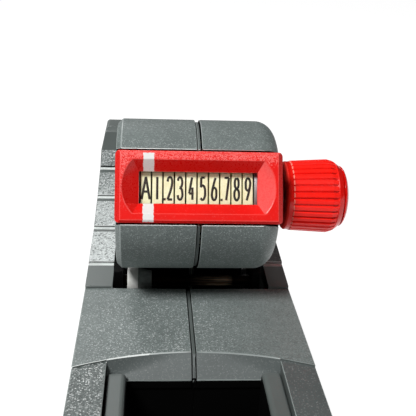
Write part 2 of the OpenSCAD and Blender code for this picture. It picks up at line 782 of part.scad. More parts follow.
module drive_tube() {
    color("silver") at_head() difference() {
        translate([-half_b + 1.3, 0, 0]) rotate([0, 90, 0]) cylinder(r = tube_r, h = 2 * half_b + 0.6);
        translate([-half_b - 1, 0, 0]) rotate([0, 90, 0]) cylinder(r = rod_r + run_fit, h = 3 * half_b);
        translate([pack_x0 + 0.4, -0.9, 0]) cube([10 * column_pitch - 0.5, 1.8, tube_r + 1]);
    }
}

module selector_rod() {
    color("silver") at_head() union() {
        translate([-half_b + 2, 0, 0]) rotate([0, 90, 0]) cylinder(r = rod_r, h = knob_x0 + half_b + 4);
        translate([pack_x0 + 0.75, -0.7, 0]) cube([1.4, 1.4, tube_r - 0.1]);
    }
}

module selector_knob() {
    taper_l = knob_l - shoulder_l - neck_l;
    lean = atan(knob_taper / taper_l);
    neck_r = knob_r - knob_taper;
    color("firebrick") at_head() translate([knob_x0, 0, 0]) difference() {
        turned() difference() {
            polygon([[0, 0], [neck_r - 0.7, 0], [neck_r - 0.1, 0.5], [neck_r - 0.1, neck_l],
                [neck_r, neck_l + 0.3], [knob_r, knob_l - shoulder_l], [knob_r - 0.5, knob_l - 1.2],
                [knob_r - 1.4, knob_l], [0, knob_l]]);
            translate([0, -1]) square([rod_r, 7]);
        }
        for (i = [0:flutes - 1]) rotate([i * 360 / flutes, 0, 0]) translate([neck_l, 0, neck_r + 0.1])
            rotate([0, 90 - lean, 0]) cylinder(r = 0.42, h = knob_l, $fn = 16);
    }
}

module knob_cap() {
    r = knob_r - 1.5;
    color("firebrick") at_head() translate([knob_x0 + knob_l, 0, 0]) turned()
        polygon([[0, 0], [r - 0.6, 0], [r - 0.6, 0.25], [r, 0.4], [r - 0.3, 0.8], [r - 1.2, cap_h * 0.68],
            [r - 2.6, cap_h * 0.9], [r - 4.2, cap_h], [0, cap_h]]);
}

module type_wheel(i) {
    x = pack_x0 + (i - 1) * column_pitch + column_gap / 2;
    color("khaki") at_head() translate([x, 0, 0]) difference() {
        rotate([15 - 90, 0, 0]) rotate([0, 90, 0])
            cylinder(r = wheel_r, h = column_pitch - column_gap, $fn = 12);
        translate([-1, 0, 0]) rotate([0, 90, 0]) cylinder(r = tube_r + run_fit, h = 5);
    }
}

module feed_wheel() {
    color("white") difference() {
        union() {
            bar(feed, feed_r - 1.4, -13, 13);
            for (x = [-9, 5]) for (i = [0:11]) translate([x, feed[0], feed[1]]) rotate([i * 30, 0, 0])
                translate([0, -0.7, 0]) cube([4, 1.4, feed_r]);
        }
        bar(feed, axle_r + run_fit, -20, 20);
    }
}

module ratchet_wheel() {
    color("gray") difference() {
        side(-17.6, -15.4) translate(feed) for (i = [0:11]) rotate(i * 30)
            polygon([[0, 0], [ratchet_r - 1.8, 0], [ratchet_r * cos(28), ratchet_r * sin(28)],
                [(ratchet_r - 1.8) * cos(30), (ratchet_r - 1.8) * sin(30)], [0, 1]]);
        bar(feed, axle_r + run_fit, -20, 20);
    }
    color("gray") difference() {
        bar(feed, 4, -15.5, -13);
        bar(feed, axle_r + run_fit, -20, 20);
    }
}

module pawl_pin() {
    color("silver") bar(pawl_pv, 1.4, -arm_x, -15);
}

module feed_pawl() {
    color("white") difference() {
        union() {
            bar(pawl_pv, 3.2, -18, -15.4);
            side(-18, -15.4) polygon([pawl_pv + [-2.4, -0.6], pawl_pv + [2.6, -0.6], pawl_tip + [-1.6, 4.7],
                pawl_tip, pawl_tip + [-1.2, -0.3], pawl_tip + [-4.4, 3.9]]);
        }
        bar(pawl_pv, 1.4 + run_fit, -20, -10);
    }
}

module applicator_roller() {
    color("black") difference() {
        bar(rol, roller_r, -14, 14);
        bar(rol, axle_r + run_fit, -20, 20);
    }
}

module ink_arm() {
    color("dimgray") difference() {
        union() {
            for (x = [-15.2, 13.6]) side(x, x + 1.6) union() {
                polygon([ink_pv + [-3.6, 0.8], ink_pv + [2.4, 2], ink_c + [3, -1], ink_c + [-2.6, 1]]);
                translate(ink_c) circle(4);
            }
            bar(ink_pv, 3, -15.2, 15.2);
        }
        bar(ink_pv, 1.5 + run_fit, -20, 20);
        bar(ink_c, 1.5, -20, 20);
    }
}

module ink_axle() {
    color("silver") bar(ink_c, 1.5, -15.2, 15.2);
}

module ink_roller() {
    color("darkslateblue") difference() {
        bar(ink_c, ink_r, -13, 13);
        bar(ink_c, 1.5 + run_fit, -20, 20);
    }
}

module nose_cover() {
    color("dimgray") difference() {
        union() {
            side(-left_in + 0.3, left_in - 0.3) polygon([nose_pin + [-1.4, 0], nose_pin + [1.6, 0],
                [nose_y - 0.5, dz - 14], [nose_y - 2.1, dz + 8], [nose_y - 4.2, nose_top - 1.2],
                [nose_y - 12, nose_top - 0.4], [nose_y - 12, nose_top - 2.6], [nose_y - 6.4, nose_top - 3.4],
                [nose_y - 4.6, dz + 7], [nose_y - 3, dz - 14]]);
            bar(nose_pin, 2.6, -left_in + 0.3, left_in - 0.3);
        }
        bar(nose_pin, 1.2 + run_fit, -30, 30);
    }
}

module bottom_door() {
    color("dimgray") difference() {
        union() {
            translate([-cradle_hw + 0.2, door_pin[0], 0.7]) cube([cradle_w - 0.4, door_end - door_pin[0], 2]);
            bar(door_pin, 2.8, -cradle_hw + 0.2, cradle_hw - 0.2);
        }
        bar(door_pin, 1.2 + run_fit, -30, 30);
        for (i = [0:4]) translate([-8, door_end - 13.2 + i * 2.2, 0]) cube([16, 1.1, 1.2]);
    }
}

module type_wheel_1() type_wheel(1);
module type_wheel_2() type_wheel(2);
module type_wheel_3() type_wheel(3);
module type_wheel_4() type_wheel(4);
module type_wheel_5() type_wheel(5);
module type_wheel_6() type_wheel(6);
module type_wheel_7() type_wheel(7);
module type_wheel_8() type_wheel(8);
module type_wheel_9() type_wheel(9);
module type_wheel_10() type_wheel(10);

housing_left();
housing_right();
label_cradle();
roll_hub_left();
roll_hub_right();
print_bed();
peel_bar();
pivot_pins();
return_springs();
feed_axle();
roller_axle();
housing_screws();
door_pin_rod();
nose_pin_rod();
ink_pin_rod();
squeeze_lever();
rocker_arm_left();
rocker_arm_right();
lever_screws();
head_carrier();
cross_shaft();
shaft_bush();
head_shell_left();
head_shell_right();
window_frame();
wheel_spacers();
type_anvil();
type_bands();
knob_collar();
pawl_pin();
drive_tube();
selector_rod();
selector_knob();
knob_cap();
type_wheel_1();
type_wheel_2();
type_wheel_3();
type_wheel_4();
type_wheel_5();
type_wheel_6();
type_wheel_7();
type_wheel_8();
type_wheel_9();
type_wheel_10();
feed_wheel();
ratchet_wheel();
feed_pawl();
applicator_roller();
ink_arm();
ink_axle();
ink_roller();
nose_cover();
bottom_door();
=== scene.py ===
"""Looks of a hand-held price labeller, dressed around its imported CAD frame.

X runs across the labeller, Y towards its nose and Z up. Sizes are in millimetres until a mesh is made.
"""
import json
import math

import bmesh
import bpy
from mathutils import Matrix, Vector


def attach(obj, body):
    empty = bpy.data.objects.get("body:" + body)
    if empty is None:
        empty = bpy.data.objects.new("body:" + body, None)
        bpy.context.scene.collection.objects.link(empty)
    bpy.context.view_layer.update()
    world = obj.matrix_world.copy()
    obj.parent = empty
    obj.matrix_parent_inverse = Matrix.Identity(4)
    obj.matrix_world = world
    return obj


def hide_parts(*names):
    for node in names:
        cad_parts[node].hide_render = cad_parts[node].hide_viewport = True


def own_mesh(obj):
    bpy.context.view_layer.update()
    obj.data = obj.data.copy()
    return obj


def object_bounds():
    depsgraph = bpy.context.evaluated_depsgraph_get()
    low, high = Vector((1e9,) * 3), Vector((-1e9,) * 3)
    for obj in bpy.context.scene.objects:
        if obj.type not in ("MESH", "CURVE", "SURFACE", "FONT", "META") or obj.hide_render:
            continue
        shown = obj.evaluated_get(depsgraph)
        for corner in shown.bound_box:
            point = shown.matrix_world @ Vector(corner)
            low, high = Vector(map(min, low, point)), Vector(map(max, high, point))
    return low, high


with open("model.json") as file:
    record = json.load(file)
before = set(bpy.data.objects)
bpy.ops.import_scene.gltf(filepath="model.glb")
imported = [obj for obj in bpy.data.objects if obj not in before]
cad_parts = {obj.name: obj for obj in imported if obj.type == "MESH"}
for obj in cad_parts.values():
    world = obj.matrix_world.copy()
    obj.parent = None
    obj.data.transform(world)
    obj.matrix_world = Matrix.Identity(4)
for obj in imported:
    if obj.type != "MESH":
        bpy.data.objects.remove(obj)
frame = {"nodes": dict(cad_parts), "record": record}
CAD_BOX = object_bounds()
NODES = frame["nodes"]
BODY_OF = {n: b for b, nodes in frame["record"]["behaviour"]["bodies"].items() for n in nodes}
MM = 0.001

# Places and sizes repeated from the solids, in millimetres
DECK_FRONT = 56.0
DECK_Z = 58.0
LIP_R = 65.0
LIP_CENTRE_Y = DECK_FRONT - 26.7 - LIP_R
BAY_HALF = 13.9
HOLLOW_HALF = 22.7
HOLLOW_REAR = -25.6
HOLLOW_NOSE = 118.0
HOLLOW_FLOOR = 2.6
WALL_IN = 18.0
WALL_OUT = 24.2
HANDLE_FRONT = -28.1
STEP_Y = (66.0, 83.0, 94.6, 104.2)
STEP_Z = (60.1, 62.3, 66.7, 72.0)
# Widths of the painted shade at the top of each step face, of the painted highlight on each ledge and of the
# painted shade past it
STEP_SHADE = 0.32
LEDGE_HIGHLIGHT = 0.9
LEDGE_SHADE = 2.2
HEAD = Vector((1.1, 60.0, 81.4))
HEAD_TILT = math.radians(27.5)
BARREL_R = 17.5
SEAM_HALF = 0.55
SEAM_LINE = 0.27
WHEEL_FLAT = 13.0 * math.cos(math.radians(15))
COLUMN_PITCH = 2.5
PACK_X0 = -0.35 - 5 * COLUMN_PITCH
KNOB_X0 = 18.1 + 2.7
KNOB_R = 8.8
KNOB_TAPER = 0.5
KNOB_L = 13.4
NECK_L = 1.5
SHOULDER_L = 2.6
FLUTES = 34
SPRING_AT = (20.1, 38.0, 2.4)
SPRING_L = 33.9
SPRING_R = 1.26
SPRING_WIRE = 0.24
SPRING_TURNS = 14

# Turns the head's own frame, X along the barrel and -Y out of the window, into the part's frame
HEAD_FRAME = Matrix.Translation(HEAD) @ Matrix.Rotation(-HEAD_TILT, 4, "X")


def linear(code):
    """An sRGB hex colour as linear RGBA."""
    parts = [int(code[i:i + 2], 16) / 255 for i in (1, 3, 5)]
    return (*[c / 12.92 if c <= 0.04045 else ((c + 0.055) / 1.055) ** 2.4 for c in parts], 1.0)


def tint(colour, by):
    """A linear colour made darker or paler."""
    return (*[min(1.0, c * by) for c in colour[:3]], 1.0)


def per_metre(size_mm):
    """Texture scale for a pattern whose cells are this many millimetres wide."""
    return 1000.0 / size_mm


def add(tree, kind, inputs=(), out=0, **fields):
    """Adds a node with these settings, sets or links its inputs, and gives one of its outputs.

    The inputs come by name or number, or as a row in the order of the node's own sockets."""
    made = tree.nodes.new(kind)
    for key, value in fields.items():
        setattr(made, key, value)
    for key, value in inputs.items() if isinstance(inputs, dict) else enumerate(inputs):
        if isinstance(value, bpy.types.NodeSocket):
            tree.links.new(value, made.inputs[key])
        else:
            made.inputs[key].default_value = value
    return made.outputs[out] if made.outputs else None


# The nodes that most finishes use; a range takes a value, where it starts and ends, and what it becomes there
NOISE = "ShaderNodeTexNoise"
RANGE = "ShaderNodeMapRange"
MATH = "ShaderNodeMath"
VECTOR = "ShaderNodeVectorMath"
MIX = "ShaderNodeMix"
SPLIT = "ShaderNodeSeparateXYZ"
TIMES = {"operation": "MULTIPLY"}
PLUS = {"operation": "ADD"}
COLOUR = {"data_type": "RGBA", "out": 2}

# ABS, acetal, rubber and foam; a metal keeps the shader's own value
PLASTIC_IOR = 1.53


def new_material(name):
    """A material with its tree, its shader and the place of a point on the object."""
    made = bpy.data.materials.new(name)
    made.use_nodes = True
    tree = made.node_tree
    place = add(tree, "ShaderNodeTexCoord", out="Object")
    return made, tree, tree.nodes["Principled BSDF"], place


def dress_shader(tree, shader, colour, roughness, height, relief_mm, strength, gloss=0.5):
    """Links the colour and the roughness, and a bump from the height, to a shader."""
    normal = add(tree, "ShaderNodeBump", {
        "Strength": strength, "Distance": relief_mm * MM, "Height": height})
    shader.inputs["Specular IOR Level"].default_value = gloss
    tree.links.new(colour, shader.inputs["Base Color"])
    tree.links.new(roughness, shader.inputs["Roughness"])
    tree.links.new(normal, shader.inputs["Normal"])


def glints(tree, place, grain_mm):
    """A random value for each grain, and how near its middle a point is."""
    away = add(tree, "ShaderNodeTexVoronoi", {"Vector": place, "Scale": per_metre(grain_mm)}, "Distance")
    pick = add(tree, "ShaderNodeSeparateColor", {"Color": away.node.outputs["Color"]}, "Red")
    return pick, add(tree, RANGE, (away, 0.75, 0.2))


GREY = "#717a78"
GLINT_WHITE = "#f2f6f5"
# Heights between which the walls' tiles lose their painted sheen, and distances over which the deck's painted
# glints thin out
TILE_SHEEN_FADE = (60.5 * MM, 72 * MM)
SPOT_FADE = (9 * MM, 25 * MM)


def spark_eroded_abs(name, colour, grain_mm, salt, pepper, relief_mm, upper=None, many=0.7, spot=None):
    """ABS moulded against a spark-eroded tool: a dull skin of tiny pits, some black, with white glints
    painted on their rims.

    The real grain is about 0.1 mm; it is drawn at grain_mm so that it shows in the render; salt sets how many
    glints are painted. The walls' tiles carry a painted sheen low down and keep the colour named upper at
    their top. The deck's painted glints are strongest around a spot on it, a painted sheen."""
    made, tree, shader, place = new_material(name)
    shader.inputs["IOR"].default_value = PLASTIC_IOR
    pick, core = glints(tree, place, grain_mm)
    grain = add(tree, NOISE, {"Vector": place, "Scale": per_metre(grain_mm * 1.3), "Detail": 3.0})
    cloud = add(tree, NOISE, {"Vector": place, "Scale": per_metre(9.0)})
    base = linear(colour)
    skin = add(tree, MIX, {
        0: add(tree, RANGE, (cloud, 0.3, 0.7)), 6: tint(base, 0.92), 7: tint(base, 1.06)}, **COLOUR)
    # Painted sheen: the tiles are pale low down and fade to the darker upper colour higher up
    if upper:
        rise = add(tree, RANGE, (add(tree, SPLIT, (place,), "Z"), *TILE_SHEEN_FADE))
        skin = add(tree, MIX, {0: rise, 6: skin, 7: linear(upper)}, **COLOUR)
    pits = add(tree, RANGE, (pick, 0.36, 0.06, 0.0, pepper))
    skin = add(tree, MIX, {0: pits, 6: skin, 7: tint(linear(GREY), 0.3)}, **COLOUR)
    # Painted white glints on the grain's rims, thicker in patches
    patch = add(tree, NOISE, {"Vector": place, "Scale": per_metre(4.0)})
    patch = add(tree, RANGE, (patch, 0.35, 0.6, 0.7 * salt, salt))
    # On the deck the painted glints are strongest around one spot, a painted sheen
    if spot:
        away = add(tree, VECTOR, (place, Vector(spot) * MM), "Value", operation="DISTANCE")
        thin = add(tree, RANGE, (away, *SPOT_FADE, 1.0, 0.25))
        patch = add(tree, MATH, (patch, thin), **TIMES)
    rims = add(tree, MATH, (add(tree, RANGE, (pick, many, 0.98)), core), **TIMES)
    rims = add(tree, MATH, (rims, patch), **TIMES)
    skin = add(tree, MIX, {0: rims, 6: skin, 7: linear(GLINT_WHITE)}, **COLOUR)
    gloss = add(tree, RANGE, (grain, 0.3, 0.7, 0.6, 0.42))
    dress_shader(tree, shader, skin, gloss, grain, relief_mm, 0.5)
    return made


def polished_tool_abs(name, colour, roughness=0.42, gloss=0.5):
    """ABS moulded against a plain ground tool: even and silky, with faint flow clouds and rub marks."""
    made, tree, shader, place = new_material(name)
    shader.inputs["IOR"].default_value = PLASTIC_IOR
    cloud = add(tree, NOISE, {"Vector": place, "Scale": per_metre(14.0), "Detail": 3.0})
    fine = add(tree, NOISE, {"Vector": place, "Scale": per_metre(0.5)})
    base = linear(colour)
    skin = add(tree, MIX, {
        0: add(tree, RANGE, (cloud, 0.35, 0.65)), 6: tint(base, 0.9), 7: tint(base, 1.06)}, **COLOUR)
    polish = add(tree, RANGE, (cloud, 0.3, 0.7, roughness - 0.06, roughness + 0.08))
    dress_shader(tree, shader, skin, polish, fine, 0.03, 0.2, gloss)
    return made


def plain_metal(name, colour, roughness, streak_mm, along, bright=None):
    """Turned or drawn metal: fine lines along one axis that stretch the reflections.

    A shaft can carry a painted glint, in a second colour, over part of its length on the right."""
    made, tree, shader, place = new_material(name)
    shader.inputs["Metallic"].default_value = 1.0
    stretch = [per_metre(streak_mm)] * 3
    stretch[along] *= 0.03
    drawn = add(tree, "ShaderNodeMapping", {"Vector": place, "Scale": stretch})
    lines = add(tree, NOISE, {"Vector": drawn, "Scale": 1.0, "Detail": 3.0})
    base = linear(colour)
    skin = add(tree, MIX, {0: add(tree, RANGE, (lines, 0.3, 0.7)), 6: tint(base, 0.75), 7: base}, **COLOUR)
    # Painted glint: a bright band along part of the shaft
    if bright:
        across = add(tree, SPLIT, (place,), "X")
        rubbed = add(tree, RANGE, (lines, 0.35, 0.6))
        for start, end in ((0.5, 9.0), (11.5, 10.0)):
            rubbed = add(tree, MATH, (rubbed, add(tree, RANGE, (across, start * MM, end * MM))), **TIMES)
        skin = add(tree, MIX, {0: rubbed, 6: skin, 7: linear(bright)}, **COLOUR)
    gloss = add(tree, RANGE, (lines, 0.3, 0.7, roughness + 0.1, roughness - 0.05))
    dress_shader(tree, shader, skin, gloss, lines, 0.02, 0.15)
    return made


def dull_polymer(name, colour, roughness, grain_mm, relief_mm, second):
    """Rubber, foam, acetal and printed plastic: one colour that drifts to a second one, with a soft skin."""
    made, tree, shader, place = new_material(name)
    shader.inputs["IOR"].default_value = PLASTIC_IOR
    grain = add(tree, NOISE, {"Vector": place, "Scale": per_metre(grain_mm), "Detail": 4.0})
    cloud = add(tree, NOISE, {"Vector": place, "Scale": per_metre(grain_mm * 9)})
    drift = add(tree, RANGE, (add(tree, MATH, (grain, cloud), **TIMES), 0.18, 0.36))
    skin = add(tree, MIX, {0: drift, 6: linear(second), 7: linear(colour)}, **COLOUR)
    gloss = add(tree, RANGE, (grain, 0.3, 0.7, roughness - 0.08, roughness + 0.08))
    dress_shader(tree, shader, skin, gloss, grain, relief_mm, 0.4)
    return made


def head_place(tree, place):
    """Millimetres across and up the window, from the middle of the barrel."""
    local = add(tree, VECTOR, (place, HEAD * MM), operation="SUBTRACT")
    local = add(tree, "ShaderNodeMapping", {
        "Vector": local, "Rotation": (HEAD_TILT, 0, 0), "Scale": (1000, 1000, 1000)})
    across = add(tree, SPLIT, (local,), "X")
    return across, across.node.outputs["Z"]


SHEEN_PINK = "#ff9d98"
MARK_WHITE = "#e6e4e2"
MARK_BLUR = 0.06


def red_abs(name, colour, roughness=0.34, haze=0.0, mark=None, rub=0.3):
    """Red ABS with a fine grain whose rims carry painted pink glints, as many as rub says; haze is how much
    pale pink is painted over it as sheen.

    The window frame carries a painted pale sheen along its top and left, and has two white index marks, given
    by their left and right, lowest and highest places on the window."""
    made, tree, shader, place = new_material(name)
    shader.inputs["IOR"].default_value = PLASTIC_IOR
    grain = add(tree, NOISE, {"Vector": place, "Scale": per_metre(0.35), "Detail": 3.0})
    cloud = add(tree, NOISE, {"Vector": place, "Scale": per_metre(7.0)})
    pick, core = glints(tree, place, 0.17)
    base = linear(colour)
    pale = linear(SHEEN_PINK)
    skin = add(tree, MIX, {0: add(tree, RANGE, (cloud, 0.3, 0.7)), 6: tint(base, 0.92), 7: base}, **COLOUR)
    # Painted sheen: pale pink over the grain, as much as haze says
    sheen_mix = add(tree, RANGE, (grain, 0.3, 0.6, haze * 0.7, haze * 1.2))
    skin = add(tree, MIX, {0: sheen_mix, 6: skin, 7: pale}, **COLOUR)
    # Painted sheen along the frame's top and left, which also brings more painted glints there
    if mark:
        across, up = head_place(tree, place)
        left = add(tree, RANGE, (across, -13.2, -15.2, 0.0, 0.5))
        left = add(tree, MATH, (left, add(tree, RANGE, (up, -5.0, 2.0))), **TIMES)
        top = add(tree, RANGE, (up, 4.4, 6.4, 0.0, 0.62))
        rubbed = add(tree, MATH, (left, top), operation="MAXIMUM")
        pick = add(tree, MATH, (pick, rubbed), **PLUS)
    # Painted pink glints on the grain's rims
    specks = add(tree, RANGE, (pick, 0.93, 1.15, 0.0, rub))
    specks = add(tree, MATH, (specks, add(tree, RANGE, (core, 0.0, 1.0, 0.5, 1.0))), **TIMES)
    skin = add(tree, MIX, {0: specks, 6: skin, 7: pale}, **COLOUR)
    if mark:
        wander = add(tree, NOISE, {"Vector": place, "Scale": per_metre(0.6)})
        wander = add(tree, RANGE, (wander, 0.3, 0.7, -0.09, 0.09))
        inside = add(tree, RANGE, (grain, 0.26, 0.4, 0.86, 1.0))
        for value, low, high in ((across, *mark[:2]), (up, *mark[2:])):
            value = add(tree, MATH, (value, wander), **PLUS)
            for edge, blur in ((low, MARK_BLUR), (high, -MARK_BLUR)):
                within = add(tree, RANGE, (value, edge - blur, edge + blur))
                inside = add(tree, MATH, (inside, within), **TIMES)
        skin = add(tree, MIX, {0: inside, 6: skin, 7: linear(MARK_WHITE)}, **COLOUR)
    polish = add(tree, RANGE, (grain, 0.3, 0.7, roughness - 0.06, roughness + 0.08))
    dress_shader(tree, shader, skin, polish, grain, 0.05, 0.25, 0.3)
    return made


# Grey ABS with a moulded grain: dull and speckled, with white glints painted on the grain's rims; coarser on
# the deck's strips and the walls' tiles, painted pale as sheen on the left wall's tiles and darker as shade
# on the right half's strip and tiles
GRAIN = spark_eroded_abs(
    "grey_abs_spark_eroded", GREY, grain_mm=0.24, salt=0.4, pepper=0.3, relief_mm=0.1)
# The deck's painted glints are strongest around a spot left of its middle
DECK_GRAIN = spark_eroded_abs(
    "grey_abs_spark_eroded_deck", GREY, grain_mm=0.24, salt=0.8, pepper=0.4, relief_mm=0.1, spot=(-8, 37, 58))
STRIP_GRAIN = spark_eroded_abs(
    "grey_abs_spark_eroded_coarse", "#5e6664", grain_mm=0.27, salt=1.0, pepper=0.8, relief_mm=0.2, many=0.6)
# The right half's strip: darker, with fewer glints, painted as shade
STRIP_SHADE_GRAIN = spark_eroded_abs(
    "grey_abs_spark_eroded_strip_painted_shade", "#535958", grain_mm=0.3, salt=0.16, pepper=0.1, relief_mm=0.06)
# The left wall's tiles: a pale base painted as sheen, keeping a darker colour at their top
TILE_SHEEN_GRAIN = spark_eroded_abs(
    "grey_abs_spark_eroded_painted_sheen", "#c6cccb", grain_mm=0.3, salt=1.0, pepper=0.8, relief_mm=0.25,
    upper="#787f7e", many=0.5)
# The right wall's tiles: painted dark as shade
TILE_SHADE_GRAIN = spark_eroded_abs(
    "grey_abs_spark_eroded_painted_shade", "#4a504e", grain_mm=0.3, salt=0.3, pepper=0.5, relief_mm=0.2)
HEAD_GRAIN = spark_eroded_abs(
    "grey_abs_spark_eroded_fine", "#6a7371", grain_mm=0.22, salt=0.36, pepper=0.3, relief_mm=0.06)
LIP_GRAIN = spark_eroded_abs(
    "grey_abs_spark_eroded_lip", "#585f5e", grain_mm=0.24, salt=0.12, pepper=0.1, relief_mm=0.05)

# Smooth grey ABS: silky on rails and the lever, pale where an edge is rubbed; painted highlights on the lip's
# edge, ledges and bright edges, painted shade on step faces, and near black painted as shade inside
SMOOTH_GREY = polished_tool_abs("grey_abs_smooth", "#5c6361")
LIP_HIGHLIGHT_GREY = polished_tool_abs("grey_abs_painted_lip_highlight", "#b4bbb9", roughness=0.33)
WORN_GREY = polished_tool_abs("grey_abs_rubbed_edge", "#8b9391", roughness=0.46)
HIGHLIGHT_GREY = polished_tool_abs("grey_abs_painted_highlight", "#e2e7e5", roughness=0.3)
RISER_SHADE_GREY = polished_tool_abs("grey_abs_painted_step_shade", "#1a1d1c", roughness=0.6, gloss=0.2)
DARK_GREY = polished_tool_abs("dark_grey_abs_smooth", "#242726", roughness=0.5, gloss=0.25)
INSIDE_SHADE_GREY = polished_tool_abs("grey_abs_painted_inside_shade", "#060606", roughness=0.6, gloss=0.06)

# Red ABS: the window frame has painted pink glints and a painted pale sheen, and its bevels are painted
# darker as shade;
# the knob is bright on its ridges, its grooves are painted darker as shade and its ridge ends carry a painted
# glint;
# the collar behind it is painted dark as shade
MARK = (-12.2, -9.85, -7.65, 7.2)
# The frame's face has painted glints and sheen; its other bevels are a darker red painted as shade, the one
# at the knob's end pale as sheen
RED_FRAME = red_abs("red_abs_with_white_marks", "#ec1813", mark=MARK, rub=0.62)
BEVEL_SHADE_RED = red_abs("red_abs_smooth_painted_shade_with_white_marks", "#d6140f", roughness=0.3, mark=MARK, rub=0.06)
SHEEN_RED = red_abs("red_abs_painted_sheen", "#ee2422", roughness=0.4, haze=0.2)
# The frame's edges: worn paler, and also painted pale as a highlight
WORN_HIGHLIT_RED = red_abs("red_abs_worn_edge_painted_highlight", "#f23a35", roughness=0.3, haze=0.04, mark=MARK)
RED = red_abs("red_abs_moulded", "#ff1d12")
# The knob's grooves are painted darker as shade, and its ridge ends carry a painted glint
GROOVE_SHADE_RED = red_abs("red_abs_painted_groove_shade", "#d8140d")
GLOSS_RED = red_abs("red_abs_polished", "#e5150d", roughness=0.14)
DULL_RED = red_abs("red_abs_dull_end", "#ff2a1c", roughness=0.75, rub=0.0)
GLINT_RED = red_abs("red_abs_painted_ridge_end_glint", "#ff8f80", roughness=0.3)
# The knob's collar: red painted dark as the shade between frame and knob
COLLAR_SHADE_RED = red_abs("red_abs_painted_collar_shade", "#7c0f0d", roughness=0.3)

# Metals: streaked along the turned or drawn length; the brass is painted dark as shade but for a painted
# glint along part of it
STEEL = plain_metal("drawn_steel", "#b9babb", roughness=0.3, streak_mm=0.25, along=0)
# The cross shaft: painted dark as shade, with a painted glint over part of its length
SHAFT_SHADE_AND_GLINT = plain_metal(
    "brass_painted_shade_and_glint", "#241a14", roughness=0.38, streak_mm=0.25, along=0, bright="#ffd9b8")
ALUMINIUM = plain_metal("turned_aluminium", "#d6d7d8", roughness=0.45, streak_mm=0.2, along=2)

# Soft-skinned polymers: cream type with its ink, waxy acetal, painted grey as shade on the bush past its lit
# end, matt rubber and foam soaked in violet ink
CREAM = dull_polymer(
    "cream_printed_type", "#f6f7d2", roughness=0.5, grain_mm=0.5, relief_mm=0.02, second="#eceabc")
INK = dull_polymer(
    "black_printing_ink", "#0d0b09", roughness=0.45, grain_mm=0.3, relief_mm=0.01, second="#2a1c10")
ACETAL = dull_polymer(
    "white_acetal_moulded", "#f0f0ec", roughness=0.38, grain_mm=0.8, relief_mm=0.02, second="#e0e0db")
# The bush beyond its lit end: white acetal painted grey as shade
SHADED_ACETAL = dull_polymer(
    "white_acetal_painted_shade", "#a3a8a6", roughness=0.42, grain_mm=0.8, relief_mm=0.02, second="#8b908e")
RUBBER = dull_polymer(
    "black_rubber_moulded", "#1b1b1c", roughness=0.7, grain_mm=0.4, relief_mm=0.04, second="#262627")
FOAM = dull_polymer(
    "inked_foam_roller", "#1d1a2c", roughness=0.9, grain_mm=0.7, relief_mm=0.2, second="#2c2740")

# Edges sharper than this are rounded, and faces that meet flatter than this are shaded as one
ROUND_ANGLE = math.radians(18)


def cad_copy(node):
    """A copy of a CAD node with its corners merged."""
    bm = bmesh.new()
    bm.from_mesh(NODES[node].data)
    bmesh.ops.remove_doubles(bm, verts=bm.verts, dist=2e-6)
    return bm


def room_at(edge):
    """Length of the shortest edge that meets either end of an edge."""
    return min(other.calc_length() for vert in edge.verts for other in vert.link_edges)


def settle(bm, name, node, paints, choose=None, round_mm=0.0, edge_paint=-1, edge_choose=None, crisp=None):
    """Makes the finished piece of a CAD node: paints its faces, rounds its edges, rides and replaces.

    Each edge is rounded as far as the edges around it leave room, and none is rounded where crisp says so."""
    weight = bm.edges.layers.float.new("bevel_weight_edge")
    bm.normal_update()
    for face in bm.faces:
        face.smooth = True
        face.material_index = choose(face.calc_center_median() / MM, face.normal) if choose else 0
    for edge in bm.edges:
        sharp = len(edge.link_faces) != 2 or edge.calc_face_angle(0.0) > ROUND_ANGLE
        edge.smooth = not sharp
        at = (edge.verts[0].co + edge.verts[1].co) / (2 * MM)
        if round_mm and sharp and edge.is_convex and len(edge.link_faces) == 2 and not (crisp and crisp(at)):
            edge[weight] = min(1.0, 0.45 * room_at(edge) / (round_mm * MM))
    mesh = bpy.data.meshes.new(name)
    bm.to_mesh(mesh)
    bm.free()
    for paint in paints:
        mesh.materials.append(paint)
    piece = bpy.data.objects.new(name, mesh)
    bpy.context.scene.collection.objects.link(piece)
    if round_mm:
        bevel = piece.modifiers.new("rounded edges", "BEVEL")
        bevel.limit_method = "WEIGHT"
        bevel.width = round_mm * MM
        bevel.segments = 2
        bevel.use_clamp_overlap = False
        bevel.material = edge_paint
        bevel.miter_outer = "MITER_ARC"
        rounded = bpy.data.meshes.new_from_object(
            piece.evaluated_get(bpy.context.evaluated_depsgraph_get()))
        piece.modifiers.remove(bevel)
        piece.data = rounded
        bpy.data.meshes.remove(mesh)
        rounded.name = name
        for face in rounded.polygons:
            if edge_choose and face.material_index == edge_paint:
                face.material_index = edge_choose(face.center / MM, face.normal)
    weighted = piece.modifiers.new("even shading", "WEIGHTED_NORMAL")
    weighted.keep_sharp = True
    if node:
        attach(piece, BODY_OF[node])
        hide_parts(node)
    return piece


